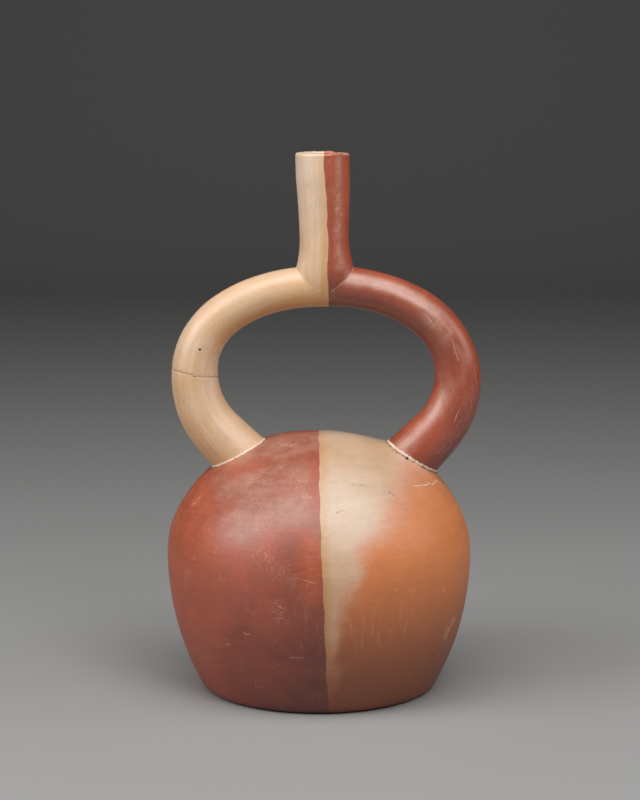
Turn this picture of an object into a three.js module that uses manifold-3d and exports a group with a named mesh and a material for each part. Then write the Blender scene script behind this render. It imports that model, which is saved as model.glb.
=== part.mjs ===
// Stirrup spout bottle of fired clay. A round hollow body stands on a flat base. Two hollow arms rise
// from its shoulders and meet in a crown, and one open spout stands on the crown. The inside is one
// empty space from the spout, through both arms, into the body. The halves are slipped in opposite
// colours: red body under a cream arm on the left, cream body under a red arm on the right.
import * as THREE from "three";
import { mergeVertices } from "three/addons/utils/BufferGeometryUtils.js";
import Module from "manifold-3d";

// Driving dimensions in millimetres and degrees. The base stands on z = 0 and the body's axis is z.
const body = {
  radius: 68,
  wallArc: 123,
  wallSweep: 28.25,
  baseCorner: 6,
  shoulderArc: 43.5,
  shoulderSweep: 44.75,
  thickness: 5,
};

const stirrup = {
  crownX: 4,
  crownZ: 181,
  crownRadius: 8.9,
  footRadius: 13.6,
  thickness: 3.5,
  legAngle: 36,
  legLength: 27,
  legShare: 0.2,
};

const leftArm = { side: -1, span: 59.1, rise: 39.2, drop: 44.3, fullness: 2.15 };
const rightArm = { side: 1, span: 57.8, rise: 41.2, drop: 43, fullness: 2.08 };

const spout = {
  axisX: 2.9,
  lean: 1.15,
  lipZ: 239.8,
  lipRound: 1.2,
  bellRadius: 11.8,
  bellZ: 231,
  waistRadius: 11,
  waistZ: 202,
  footZ: 189,
  footSpread: 0.16,
  keelStartZ: 190,
  keelBend: 10,
  keelRadius: 6.6,
  keelZ: 175,
  mouthRadius: 8.8,
  throatRadius: 7.6,
  throatZ: 187,
  bottomZ: 176.5,
};

const slip = { red: 0x9a4a38, cream: 0xd9b48c, clay: 0xb98f6a, roughness: 0.42 };

const facets = {
  body: 56,
  cavity: 36,
  tube: 20,
  bore: 12,
  spout: 28,
  throat: 20,
  arc: 4,
  innerArc: 3,
  sweep: 50,
  innerSweep: 32,
};

const wasm = await Module();
wasm.setup();

// A closed manifold solid from a geometry, with shared points and no flat triangles.
function solid(geometry) {
  const bare = geometry.clone();
  bare.deleteAttribute("normal");
  bare.deleteAttribute("uv");
  const welded = mergeVertices(bare, 1e-4);
  const index = Array.from(welded.index.array);
  const triangles = [];
  for (let i = 0; i < index.length; i += 3) {
    const [a, b, c] = index.slice(i, i + 3);
    if (a !== b && b !== c && c !== a) {
      triangles.push(a, b, c);
    }
  }
  const mesh = new wasm.Mesh({
    numProp: 3,
    vertProperties: new Float32Array(welded.attributes.position.array),
    triVerts: new Uint32Array(triangles),
  });
  return new wasm.Manifold(mesh).asOriginal();
}

// A profile of radius and height, from the lower axis point to the upper one, turned round z.
function turned(profile, segments) {
  const geometry = new THREE.LatheGeometry(profile, segments);
  geometry.rotateX(Math.PI / 2);
  return geometry;
}

// The body's profile, moved inward by inset: base, base corner, wall, shoulder and dome.
// The wall and the shoulder are arcs that meet at the greatest radius, and the dome's arc is on the axis.
function bodyProfile(inset, divisions) {
  const wallEnd = THREE.MathUtils.degToRad(body.wallSweep);
  const shoulderEnd = THREE.MathUtils.degToRad(body.shoulderSweep);
  const wallX = body.radius - body.wallArc;
  const cornerReach = body.wallArc - body.baseCorner;
  const cornerX = wallX + cornerReach * Math.cos(wallEnd);
  const equatorZ = cornerReach * Math.sin(wallEnd) + body.baseCorner;
  const shoulderX = body.radius - body.shoulderArc;
  const domeReach = shoulderX / Math.cos(shoulderEnd);
  const domeZ = equatorZ - domeReach * Math.sin(shoulderEnd);
  const path = new THREE.Path();
  path.moveTo(0, inset);
  path.lineTo(cornerX, inset);
  path.absarc(cornerX, body.baseCorner, body.baseCorner - inset, -Math.PI / 2, -wallEnd, false);
  path.absarc(wallX, equatorZ, body.wallArc - inset, -wallEnd, 0, false);
  path.absarc(shoulderX, equatorZ, body.shoulderArc - inset, 0, shoulderEnd, false);
  path.absarc(0, domeZ, body.shoulderArc + domeReach - inset, shoulderEnd, Math.PI / 2, false);
  const points = path.getPoints(divisions);
  points[points.length - 1].x = 0;
  return points;
}

// The stirrup's centreline in the plane y = 0, from the left foot over the crown to the right foot.
// Each arm is a full oval that ends in a straight leg into the shoulder.
class StirrupCurve extends THREE.Curve {
  getPoint(t) {
    const arm = t < 0.5 ? leftArm : rightArm;
    const along = Math.abs(2 * t - 1);
    const bend = Math.min(along / (1 - stirrup.legShare), 1);
    const leg = Math.max(along - (1 - stirrup.legShare), 0) / stirrup.legShare;
    const angle = THREE.MathUtils.degToRad(90 - bend * (90 + stirrup.legAngle));
    const end = THREE.MathUtils.degToRad(-stirrup.legAngle);
    const point = this.oval(arm, angle);
    const heading = this.oval(arm, end - 0.01).sub(this.oval(arm, end)).normalize();
    return point.addScaledVector(heading, leg * stirrup.legLength);
  }

  oval(arm, angle) {
    const power = 2 / arm.fullness;
    const out = Math.abs(Math.cos(angle)) ** power;
    const up = Math.abs(Math.sin(angle)) ** power;
    const height = angle > 0 ? arm.rise * up : -arm.drop * up;
    return new THREE.Vector3(
      stirrup.crownX + arm.side * arm.span * out,
      0,
      stirrup.crownZ - arm.rise + height,
    );
  }

  radius(t) {
    const along = Math.abs(2 * t - 1);
    return stirrup.crownRadius + (stirrup.footRadius - stirrup.crownRadius) * along ** 2;
  }
}

// A closed round tube along a curve in the plane y = 0, its radius less inset, capped at both ends.
function sweptTube(curve, inset, steps, sides) {
  const positions = [];
  const index = [];
  const across = new THREE.Vector3(0, 1, 0);
  for (let i = 0; i <= steps; i += 1) {
    const t = i / steps;
    const centre = curve.getPoint(t);
    const normal = new THREE.Vector3().crossVectors(curve.getTangent(t), across);
    const radius = curve.radius(t) - inset;
    for (let j = 0; j < sides; j += 1) {
      const angle = (2 * Math.PI * j) / sides;
      const point = centre.clone();
      point.addScaledVector(normal, radius * Math.cos(angle));
      point.addScaledVector(across, radius * Math.sin(angle));
      positions.push(point.x, point.y, point.z);
    }
  }
  for (let i = 0; i < steps; i += 1) {
    for (let j = 0; j < sides; j += 1) {
      const next = (j + 1) % sides;
      const a = i * sides + j;
      const b = i * sides + next;
      const c = a + sides;
      const d = b + sides;
      index.push(a, c, b, b, c, d);
    }
  }
  const last = steps * sides;
  for (let j = 1; j < sides - 1; j += 1) {
    index.push(0, j, j + 1);
    index.push(last, last + j + 1, last + j);
  }
  const geometry = new THREE.BufferGeometry();
  geometry.setAttribute("position", new THREE.Float32BufferAttribute(positions, 3));
  geometry.setIndex(index);
  return geometry;
}

// Spout parts are drawn with the crown's height as zero, then leaned and set on the crown.
function standOnCrown(geometry) {
  geometry.rotateY(-THREE.MathUtils.degToRad(spout.lean));
  geometry.translate(spout.axisX, 0, stirrup.crownZ);
  return geometry;
}

// Below its waist the spout widens along the stirrup, so it runs out into the two arms.
function spreadFoot(geometry) {
  const position = geometry.attributes.position;
  const waist = spout.waistZ - stirrup.crownZ;
  const reach = spout.waistZ - spout.footZ;
  for (let i = 0; i < position.count; i += 1) {
    const below = Math.max(waist - position.getZ(i), 0) / reach;
    position.setX(i, position.getX(i) * (1 + spout.footSpread * below ** 2));
  }
  return geometry;
}

// Outside of the spout: a keel that runs down over the crown, a straight foot, a waist and a bell lip.
function spoutProfile() {
  const z = (height) => height - stirrup.crownZ;
  const path = new THREE.Path();
  const lipRadius = spout.bellRadius - spout.lipRound;
  const handle = (spout.bellZ - spout.waistZ) / 3;
  path.moveTo(0, z(spout.keelZ));
  path.lineTo(spout.keelRadius, z(spout.keelZ));
  path.quadraticCurveTo(
    spout.waistRadius,
    z(spout.keelStartZ - spout.keelBend),
    spout.waistRadius,
    z(spout.keelStartZ),
  );
  path.lineTo(spout.waistRadius, z((spout.keelStartZ + spout.waistZ) / 2));
  path.lineTo(spout.waistRadius, z(spout.waistZ));
  path.bezierCurveTo(
    spout.waistRadius,
    z(spout.waistZ + handle),
    spout.bellRadius,
    z(spout.bellZ - handle),
    spout.bellRadius,
    z(spout.bellZ),
  );
  path.lineTo(spout.bellRadius, z(spout.lipZ - spout.lipRound));
  path.absarc(lipRadius, z(spout.lipZ - spout.lipRound), spout.lipRound, 0, Math.PI / 2, false);
  path.lineTo(0, z(spout.lipZ));
  return path.getPoints(facets.arc);
}

// Inside of the spout: a round bottom in the crown and a throat that widens to past the lip.
function throatProfile() {
  const z = (height) => height - stirrup.crownZ;
  const path = new THREE.Path();
  path.moveTo(0, z(spout.bottomZ));
  path.quadraticCurveTo(spout.throatRadius, z(spout.bottomZ), spout.throatRadius, z(spout.throatZ));
  path.lineTo(spout.mouthRadius, z(spout.lipZ + 2 * spout.lipRound));
  path.lineTo(0, z(spout.lipZ + 2 * spout.lipRound));
  return path.getPoints(facets.innerArc);
}

// Colour of a triangle by the form it came from and the half it is on.
function slipColour(form, x) {
  if (form.bare) {
    return slip.clay;
  }
  const left = x < form.axisX;
  return left === form.onBody ? slip.red : slip.cream;
}

// A drawable geometry with one slip colour for each triangle.
function slipped(vessel, forms) {
  const mesh = vessel.getMesh();
  const positions = [];
  const colours = [];
  const colour = new THREE.Color();
  for (let run = 0; run < mesh.runOriginalID.length; run += 1) {
    const form = forms.get(mesh.runOriginalID[run]);
    for (let i = mesh.runIndex[run]; i < mesh.runIndex[run + 1]; i += 3) {
      const corners = [0, 1, 2].map((k) => {
        const start = mesh.triVerts[i + k] * mesh.numProp;
        return mesh.vertProperties.slice(start, start + 3);
      });
      colour.set(slipColour(form, (corners[0][0] + corners[1][0] + corners[2][0]) / 3));
      for (const corner of corners) {
        positions.push(...corner);
        colours.push(colour.r, colour.g, colour.b);
      }
    }
  }
  const geometry = new THREE.BufferGeometry();
  geometry.setAttribute("position", new THREE.Float32BufferAttribute(positions, 3));
  geometry.setAttribute("color", new THREE.Float32BufferAttribute(colours, 3));
  geometry.computeVertexNormals();
  return geometry;
}

const curve = new StirrupCurve();
const bodyForm = solid(turned(bodyProfile(0, facets.arc), facets.body));
const tubeForm = solid(sweptTube(curve, 0, facets.sweep, facets.tube));
const spoutForm = solid(standOnCrown(spreadFoot(turned(spoutProfile(), facets.spout))));
const cavity = solid(turned(bodyProfile(body.thickness, facets.innerArc), facets.cavity));
const bore = solid(sweptTube(curve, stirrup.thickness, facets.innerSweep, facets.bore));
const throat = solid(standOnCrown(turned(throatProfile(), facets.throat)));

const outside = bodyForm.add(tubeForm).add(spoutForm);
const inside = cavity.add(bore).add(throat);
const hollow = outside.subtract(inside);

const forms = new Map([
  [bodyForm.originalID(), { onBody: true, axisX: 0, bare: false }],
  [tubeForm.originalID(), { onBody: false, axisX: stirrup.crownX, bare: false }],
  [spoutForm.originalID(), { onBody: false, axisX: spout.axisX, bare: false }],
  [cavity.originalID(), { onBody: true, axisX: 0, bare: true }],
  [bore.originalID(), { onBody: false, axisX: 0, bare: true }],
  [throat.originalID(), { onBody: false, axisX: 0, bare: true }],
]);

const material = new THREE.MeshStandardMaterial({
  color: 0xffffff,
  vertexColors: true,
  roughness: slip.roughness,
  metalness: 0,
});

const vessel = new THREE.Mesh(slipped(hollow, forms), material);
vessel.name = "vessel";

const part = new THREE.Group();
part.name = "stirrup_spout_vessel";
part.add(vessel);

export default part;
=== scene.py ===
"""Looks of a stirrup spout bottle in burnished red and cream slip.

The bottle is one fired-clay piece. Geometry Nodes turn the body and the spout, sweep the stirrup and
join them into one hollow form. Its points are then settled on the smooth walls, and the small relief
is worked in: handmade waves, repaired breaks, filler at the feet of the arms, pits and a worn lip.
"""

import itertools
import math

import bmesh
import bpy
import numpy as np
from bpy.props import FloatProperty, FloatVectorProperty, IntProperty, PointerProperty
from mathutils import Color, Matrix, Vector


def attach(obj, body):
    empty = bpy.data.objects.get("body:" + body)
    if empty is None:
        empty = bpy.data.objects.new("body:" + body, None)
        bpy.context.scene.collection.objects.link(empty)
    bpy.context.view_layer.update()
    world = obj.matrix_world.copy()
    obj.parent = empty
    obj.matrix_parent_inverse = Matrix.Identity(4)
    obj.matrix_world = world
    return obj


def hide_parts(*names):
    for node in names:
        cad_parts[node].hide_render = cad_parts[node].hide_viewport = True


bl_info = {
    "name": "Stirrup spout bottle",
    "version": (1, 0, 0),
    "blender": (4, 5, 0),
    "location": "View3D > Sidebar > Bottle",
    "description": "Builds a burnished two-colour stirrup spout bottle and a plain studio",
    "category": "Object",
}

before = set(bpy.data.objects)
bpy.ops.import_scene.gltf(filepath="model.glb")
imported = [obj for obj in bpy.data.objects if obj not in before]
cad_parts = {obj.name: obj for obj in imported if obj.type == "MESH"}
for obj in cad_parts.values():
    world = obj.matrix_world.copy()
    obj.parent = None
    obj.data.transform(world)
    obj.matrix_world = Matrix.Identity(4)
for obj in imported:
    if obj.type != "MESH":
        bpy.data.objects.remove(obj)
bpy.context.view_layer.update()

# Lengths in metres: a millimetre, one that counts as none, one at which points are joined, and the
# depth of the grain in the materials
MM = 0.001
TINY = 1e-9
WELD = 1e-6
BUMP_DEPTH = 0.25 * MM

# Faces this near to a small feature are split, once for each distance
FINE_REACHES = (2.4 * MM, 1.1 * MM, 0.45 * MM)

# Pits in the left arm and in the right joint: place and radius in millimetres
PITS = (
    ((-52.3, -9.8, 153.8), 0.7),
    ((39.0, -12.9, 105.8), 0.9),
    ((34.6, -11.0, 108.3), 0.6),
    ((32.9, -10.3, 109.1), 0.6),
    ((29.4, -1.6, 111.4), 0.8),
)

# Heights over the base, and how far right of the axis the cream slip turns orange there
FIRED_EDGE = ((0, 26, 46, 62, 75, 84, 93, 101, 114), (2, 6, 11, 14, 19, 27, 33, 40, 47))

# Heights over the base, and how wide the change to orange is there
FIRED_WIDTH = ((60, 100), (17, 40))

# Heights over the base, and the share of painted shade on the wall there
PAINTED_LOW_SHADE = ((8, 84), (0.9, 0.0))

# Light that rubbed places add to the slip
RUBBED_LIGHT = (0.2, 0.17, 0.14)

# Lamps: name, setting of the power, width and height, and place in metres
LAMPS = (
    ("top light", "top_power", (1.15, 0.7), (0.02, -0.36, 1.04)),
    ("left light", "left_power", (0.6, 0.6), (-0.78, -0.38, 0.62)),
    ("front light", "front_power", (0.4, 0.3), (0.33, -0.74, 0.71)),
    ("right light", "right_power", (0.5, 0.5), (0.89, -0.19, 0.53)),
)

# Place that the lamps face, in metres
LAMP_TARGET = (0.0, 0.0, 0.12)

# Colour of the even light all round
AIR_COLOUR = (0.9, 0.92, 0.95, 1.0)

# Marks on the slip: a path of places and a half width, in millimetres
# The sheen patches are painted sheen on the red slip, mixed with a grey bloom
SHEEN_PATCHES = (
    (((-38.0, -50.0, 82.5), (-20.3, -54.8, 88.6), (-11.0, -54.0, 93.0)), 13.5),
    (((-36.0, -36.0, 97.0), (-10.0, -40.0, 102.5)), 15.0),
    (((-26.0, -10.0, 110.0), (-13.0, -15.0, 112.5), (-1.7, -8.0, 114.6)), 23.0),
    (((8.4, -9.4, 237.1), (8.4, -9.4, 219.8), (8.4, -9.0, 200.0), (9.0, -9.0, 190.0)), 3.2),
    (((14.0, -6.5, 185.0), (33.5, -6.5, 181.0), (46.7, -7.0, 172.0), (56.0, -7.0, 161.0)), 7.2),
    (((56.0, -7.0, 161.0), (64.5, -8.0, 149.0), (63.0, -9.0, 138.0)), 4.0),
    (((57.1, -9.7, 135.0), (50.1, -8.1, 125.8), (42.7, -8.4, 117.8), (36.0, -11.0, 108.0)), 9.2),
)
DEEP_PATCHES = (
    (((-12.5, -64.8, 75.0), (-12.1, -66.9, 61.0)), 11.0),
    (((-40.4, -50.5, 33.1), (-36.0, -53.0, 37.0)), 9.0),
)
ORANGE_PATCHES = (
    (((-3.5, -64.5, 80.0), (-2.5, -67.5, 57.0)), 8.0),
)
FLECK_PATCHES = (
    (((-25.0, -61.5, 73.5), (-13.0, -66.5, 64.0)), 8.0),
    (((-18.0, -65.0, 52.0), (-16.5, -65.0, 45.0)), 6.0),
    (((-32.8, -33.8, 99.2), (-19.7, -40.8, 100.6)), 4.0),
    (((-19.7, 5.0, 112.0), (-13.1, -17.0, 112.1), (-3.0, -9.0, 114.5)), 8.0),
    (((-47.2, -4.4, 100.8), (-31.3, -11.6, 108.4)), 5.0),
    (((-8.5, -47.0, 99.0), (-5.8, -50.7, 96.0)), 4.0),
    (((-54.4, -21.0, 86.0), (-52.6, -24.8, 90.5)), 5.0),
    (((-58.4, -34.4, 54.0), (-57.0, -37.0, 60.0)), 5.0),
    (((68.7, -7.9, 135.6), (65.2, -8.6, 122.3), (52.4, -10.1, 105.5)), 6.0),
    (((60.0, -26.5, 37.0), (55.4, -31.0, 28.5)), 5.0),
    (((6.6, -10.6, 224.0), (8.6, -9.4, 216.0), (8.6, -9.4, 206.0)), 6.0),
)
PALE_NICKS = (
    (((-32.0, -57.2, 38.0), (-30.8, -57.8, 37.2), (-29.6, -58.4, 38.1)), 0.42),
    (((-39.9, -50.2, 30.6), (-38.4, -51.4, 31.8)), 0.4),
    (((-12.3, -62.2, 28.4), (-6.8, -63.1, 28.6)), 0.38),
    (((-18.3, -64.5, 46.2), (-15.0, -65.2, 46.6)), 0.36),
    (((-17.6, -65.2, 52.0), (-15.2, -65.8, 50.8)), 0.32),
    (((-6.6, -67.5, 63.8), (-1.6, -67.8, 62.2)), 0.32),
    (((33.2, -59.2, 57.3), (33.6, -58.9, 57.3)), 0.5),
    (((38.7, -55.6, 56.2), (39.9, -54.7, 55.1), (41.1, -53.8, 56.3)), 0.42),
    (((53.8, -40.8, 53.4), (54.7, -39.6, 51.5)), 0.5),
    (((60.4, -25.6, 37.3), (58.4, -28.2, 33.6)), 1.1),
    (((59.1, -28.5, 37.0), (56.6, -31.2, 32.5)), 1.0),
    (((57.4, -29.6, 32.4), (55.2, -31.4, 28.2)), 1.2),
    (((56.3, -32.5, 34.0), (55.0, -32.6, 30.0)), 0.8),
    (((47.1, -9.2, 169.2), (49.4, -9.4, 166.1)), 0.34),
    (((58.8, -9.6, 158.0), (61.5, -9.8, 149.0)), 0.3),
    (((68.5, -7.0, 146.0), (70.0, -6.5, 138.0)), 0.34),
    (((62.5, -10.5, 128.0), (60.0, -10.9, 122.0)), 0.34),
    (((14.9, -3.4, 188.7), (10.0, -7.5, 183.5), (5.4, -9.0, 179.4)), 0.6),
    (((-6.0, -8.1, 185.4), (0.6, -9.0, 179.3)), 0.3),
)
PALE_SMUDGES = (
    (((-54.4, -39.9, 66.4), (-53.8, -41.2, 67.4)), 1.7),
    (((-54.2, -22.3, 86.4), (-54.0, -22.5, 87.4)), 1.5),
    (((-53.0, -23.0, 90.0), (-52.8, -23.3, 91.0)), 1.5),
    (((-15.0, -16.5, 112.0), (-11.0, -17.5, 112.0)), 2.2),
    (((-9.0, -43.0, 101.0), (-5.0, -44.0, 101.0)), 1.5),
    (((-6.5, -51.0, 96.0), (-3.5, -51.5, 96.0)), 1.3),
)
SCRAPED_PATCHES = (
    (((12.0, -65.0, 40.0), (40.0, -52.0, 42.0)), 20.0),
    (((-7.0, -66.5, 66.0), (-6.0, -64.0, 36.0)), 11.0),
)
FILLED_CRACKS = (
    (
        (
            (41.1, -29.1, 96.5),
            (47.1, -21.8, 95.1),
            (48.1, -18.6, 95.4),
            (49.5, -18.2, 94.4),
            (51.6, -9.6, 94.8),
            (54.3, -6.0, 92.7),
        ),
        0.32,
    ),
)
DARK_SPECKS = (
    (((7.8, -56.4, 90.2), (10.2, -55.3, 91.0)), 0.6),
    (((5.7, -44.4, 100.9), (6.1, -44.3, 100.9)), 0.55),
    (((14.7, -43.9, 99.9), (17.8, -43.1, 99.0), (19.6, -41.8, 100.2)), 0.55),
    (((30.3, -40.9, 96.2), (32.6, -41.2, 94.6)), 0.9),
    (((40.2, -50.6, 78.1), (40.6, -50.3, 78.1)), 0.5),
    (((22.4, -63.5, 67.9), (22.8, -63.4, 67.9)), 0.5),
    (((49.4, -37.1, 23.6), (49.8, -36.7, 22.6)), 0.9),
    (((-59.6, -9.0, 130.8), (-59.5, -9.0, 129.4)), 0.45),
)


def length(name, default, description):
    """A size in millimetres, held in metres."""
    return FloatProperty(
        name=name, default=default * MM, description=description, unit="LENGTH", precision=5
    )


def angle(name, default, description):
    """An angle given in degrees."""
    return FloatProperty(
        name=name, default=math.radians(default), description=description, subtype="ANGLE"
    )


def number(name, default, description):
    """A plain number."""
    return FloatProperty(name=name, default=default, description=description)


def count(name, default, description):
    """A whole number."""
    return IntProperty(name=name, default=default, min=1, description=description)


def place(name, default, description):
    """A point given in millimetres."""
    return FloatVectorProperty(
        name=name,
        default=[value * MM for value in default],
        description=description,
        subtype="XYZ_LENGTH",
        precision=5,
    )


def direction(name, default, description):
    """A direction."""
    return FloatVectorProperty(
        name=name, default=default, description=description, subtype="DIRECTION"
    )


def colour(name, default, description):
    """A colour given as red, green and blue out of 255, held as linear light."""
    linear = []
    for value in default:
        part = value / 255
        linear.append(part / 12.92 if part <= 0.04045 else ((part + 0.055) / 1.055) ** 2.4)
    return FloatVectorProperty(
        name=name,
        default=linear,
        description=description,
        subtype="COLOR",
        min=0.0,
        max=1.0,
    )


class BodySizes(bpy.types.PropertyGroup):
    """Sizes of the round body."""

    radius: length("Radius", 68, "Greatest radius of the body")
    wall_arc: length("Wall arc", 123, "Radius of the lower wall's arc")
    wall_sweep: angle("Wall sweep", 28.25, "Angle of the lower wall's arc")
    base_corner: length("Base corner", 6, "Radius of the rounded edge of the base")
    shoulder_arc: length("Shoulder arc", 43.5, "Radius of the shoulder's arc")
    shoulder_sweep: angle("Shoulder sweep", 44.75, "Angle of the shoulder's arc")
    thickness: length("Thickness", 5, "Thickness of the body's wall")


class StirrupSizes(bpy.types.PropertyGroup):
    """Sizes of the stirrup handle."""

    crown_x: length("Crown X", 4, "Place of the crown's top across the vessel")
    crown_z: length("Crown Z", 181, "Height of the tube's centre at the crown")
    crown_radius: length("Crown radius", 8.9, "Radius of the tube at the crown")
    foot_radius: length("Foot radius", 13.6, "Radius of the tube at the end of its legs")
    thickness: length("Thickness", 3.5, "Thickness of the tube's wall")
    leg_angle: angle("Leg angle", 36, "Angle below the widest place where each straight leg starts")
    leg_length: length("Leg length", 27, "Length of the straight leg into the shoulder")
    leg_share: number("Leg share", 0.2, "Share of each arm's sweep that is its straight leg")
    left_span: length("Left span", 59.1, "Reach of the left arm from the crown")
    left_rise: length("Left rise", 39.2, "Height of the crown over the left arm's widest place")
    left_drop: length("Left drop", 44.3, "Depth of the left arm's lower oval")
    left_fullness: number("Left fullness", 2.15, "Power of the left arm's oval, 2 for an ellipse")
    right_span: length("Right span", 57.8, "Reach of the right arm from the crown")
    right_rise: length("Right rise", 41.2, "Height of the crown over the right arm's widest place")
    right_drop: length("Right drop", 43, "Depth of the right arm's lower oval")
    right_fullness: number("Right fullness", 2.08, "Power of the right arm's oval, 2 for an ellipse")


class SpoutSizes(bpy.types.PropertyGroup):
    """Sizes of the spout. Heights are over the base."""

    axis_x: length("Axis X", 2.9, "Place of the spout's axis on the crown")
    lean: angle("Lean", 1.15, "Lean of the spout to the left")
    lip_z: length("Lip Z", 239.8, "Height of the lip")
    lip_round: length("Lip round", 0.8, "Rounding of the lip")
    bell_radius: length("Bell radius", 11.8, "Radius of the spout below its lip")
    bell_z: length("Bell Z", 231, "Height of the bell")
    waist_radius: length("Waist radius", 11, "Least radius of the spout")
    waist_z: length("Waist Z", 202, "Height of the waist")
    foot_z: length("Foot Z", 189, "Height where the foot meets the crown's top")
    foot_spread: number("Foot spread", 0.16, "Widening of the foot along the stirrup")
    keel_start_z: length("Keel start Z", 190, "Height where the keel starts to narrow")
    keel_bend: length("Keel bend", 10, "Depth of the bend of the keel")
    keel_radius: length("Keel radius", 6.6, "Radius of the keel's end")
    keel_z: length("Keel Z", 175, "Height of the keel's end")
    mouth_radius: length("Mouth radius", 8.8, "Radius of the open mouth")
    throat_radius: length("Throat radius", 7.6, "Radius of the throat at its foot")
    throat_z: length("Throat Z", 187, "Height of the throat's foot")
    bottom_z: length("Bottom Z", 176.5, "Height of the throat's round bottom")


class ReliefSizes(bpy.types.PropertyGroup):
    """Sizes of the mesh and of the small relief on it."""

    rings: count("Rings", 120, "Rings of a turned form")
    segments: count("Segments", 160, "Segments round a turned form")
    sides: count("Sides", 48, "Sides of the swept tube")
    cell: length("Cell", 1.8, "Edge length of the even mesh")
    foot_blend: length("Foot blend", 1.0, "Softness of the joint between an arm and the shoulder")
    crown_blend: length("Crown blend", 0.8, "Softness of the joint between the spout and the crown")
    wave: length("Wave", 0.26, "Height of the slow handmade waves")
    wave_length: length("Wave length", 30, "Length of the slow handmade waves")
    wave_start: length("Wave start", 8, "Height over the base from which the waves are full")
    left_break: place("Left break", (-55, 0, 142.6), "A point on the break through the left arm")
    left_break_normal: direction("Left break normal", (0.18, 0, 1), "Across the left arm's break")
    right_break: place("Right break", (49, 0, 165), "A point on the break through the right arm")
    right_break_normal: direction(
        "Right break normal", (0.664, 0, -0.747), "Across the right arm's break"
    )
    break_depth: length("Break depth", 0.22, "Depth of the open line of a break")
    break_width: length("Break width", 0.35, "Half width of the open line of a break")
    jag: length("Jag", 0.85, "How far a break wanders from its plane")
    foot_swell: length("Foot swell", 1.1, "Rise of the shoulder round the foot of each arm")
    swell_reach: length("Swell reach", 20, "How far the swell reaches from the arm")
    ledge: length("Ledge", 0.9, "Rise of the filler's ledge at the right arm")
    ledge_reach: length("Ledge reach", 5, "How far the ledge reaches from the arm")
    filler_width: length("Filler width", 0.8, "Half width of the filler at the feet of the arms")
    strip_rise: length("Strip rise", 0.12, "Rise of the strip of filler at the right arm")
    gap_depth: length("Gap depth", 0.3, "Depth of the gap beside the strip")
    gap_width: length("Gap width", 0.5, "Half width of the gap")
    pit_depth: length("Pit depth", 0.7, "Depth of the pits")
    crease_depth: length("Crease depth", 0.16, "Depth of the crease between spout and crown")
    crease_width: length("Crease width", 0.7, "Half width of the crease")
    lip_wear: length("Lip wear", 0.22, "Greatest wear of the lip")
    lip_band: length("Lip band", 3, "Height of the worn band below the lip")
    chip_depth: length("Chip depth", 0.75, "Depth of the chip in the lip")
    chip_turn: angle("Chip turn", 12, "Middle of the chip, turned from the right")
    chip_reach: angle("Chip reach", 62, "Half of the chip's length round the lip")
    chip_end: angle("Chip end", 7, "Length of the slope at each end of the chip")


class SlipColours(bpy.types.PropertyGroup):
    """Colours of the slips, the clay and the filler."""

    red: colour("Red", (187, 93, 65), "Bright red slip")
    # Deep red is also the painted shade on the arms' red, most where they face down
    deep_red: colour("Deep red", (121, 50, 30), "Red slip darkened in the firing")
    ember: colour("Ember", (196, 94, 53), "Red slip turned orange in the firing")
    # The bloom colour is painted sheen on the red slip as well as a grey bloom
    bloom: colour("Sheen and bloom", (189, 142, 120), "Grey bloom on the rubbed red slip")
    cream: colour("Cream", (227, 199, 173), "Cream slip")
    warm_cream: colour("Warm cream", (208, 156, 100), "Cream slip where it is thin")
    # Warm cream is also the painted shade on the arms' cream, most where they face down
    blush: colour("Blush", (226, 166, 138), "Cream slip at the edge of the orange cloud")
    orange: colour("Orange", (229, 137, 76), "Cream slip turned orange in the firing")
    brown: colour("Brown", (142, 80, 34), "Cream slip browned near the base")
    clay: colour("Clay", (196, 152, 114), "Bare fired clay")
    filler: colour("Filler", (226, 212, 190), "Filler in the repaired joints")
    soot: colour("Soot", (62, 40, 30), "Dirt in cracks and pits")
    base: colour("Base", (120, 84, 62), "Rubbed clay of the base")
    # Painted shade: this tint darkens the lower wall more towards the base
    grime: colour("Painted low shade", (206, 174, 150), "Tint of the painted shade on the lower wall")
    floor: colour("Floor", (156, 155, 154), "Studio floor")


class StudioSizes(bpy.types.PropertyGroup):
    """Camera and lights of the plain studio."""

    camera_x: length("Camera X", 0.56, "Place of the camera across the vessel")
    camera_distance: length("Camera distance", 1050, "Distance of the camera from the body's axis")
    camera_height: length("Camera height", 296.1, "Height of the camera")
    camera_tilt: angle("Camera tilt", 8.995, "Downward tilt of the camera")
    focal_length: number("Focal length", 107.3, "Focal length in millimetres")
    sensor_width: number("Sensor width", 36, "Width of the camera's film in millimetres")
    top_power: number("Top power", 8.4, "Power of the overhead light in watts")
    left_power: number("Left power", 4.9, "Power of the left light in watts")
    front_power: number("Front power", 2.6, "Power of the front light in watts")
    right_power: number("Right power", 1.6, "Power of the right light in watts")
    ambient: number("Ambient", 0.02, "Strength of the even light all round")


def arc(x, z, radius, start, end, steps=60):
    """Points of an arc of radius (X) and height (Z)."""
    turn = np.linspace(start, end, steps)
    return np.column_stack((x + radius * np.cos(turn), z + radius * np.sin(turn)))


def curve(*handles, steps=40):
    """Points of a quadratic or cubic curve from its handles."""
    t = np.linspace(0, 1, steps)[:, None]
    order = len(handles) - 1
    points = 0
    for i, handle in enumerate(handles):
        points = points + math.comb(order, i) * t**i * (1 - t) ** (order - i) * np.array(handle)
    return points


def evenly(points, spacing):
    """The same outline with its points at an even spacing."""
    points = np.asarray(points, float)
    step = np.hypot(*np.diff(points, axis=0).T)
    points = points[np.r_[True, step > TINY]]
    run = np.r_[0, np.cumsum(np.hypot(*np.diff(points, axis=0).T))]
    wanted = np.linspace(0, run[-1], max(int(run[-1] / spacing), 2) + 1)
    return np.column_stack([np.interp(wanted, run, points[:, i]) for i in range(points.shape[1])])


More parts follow.
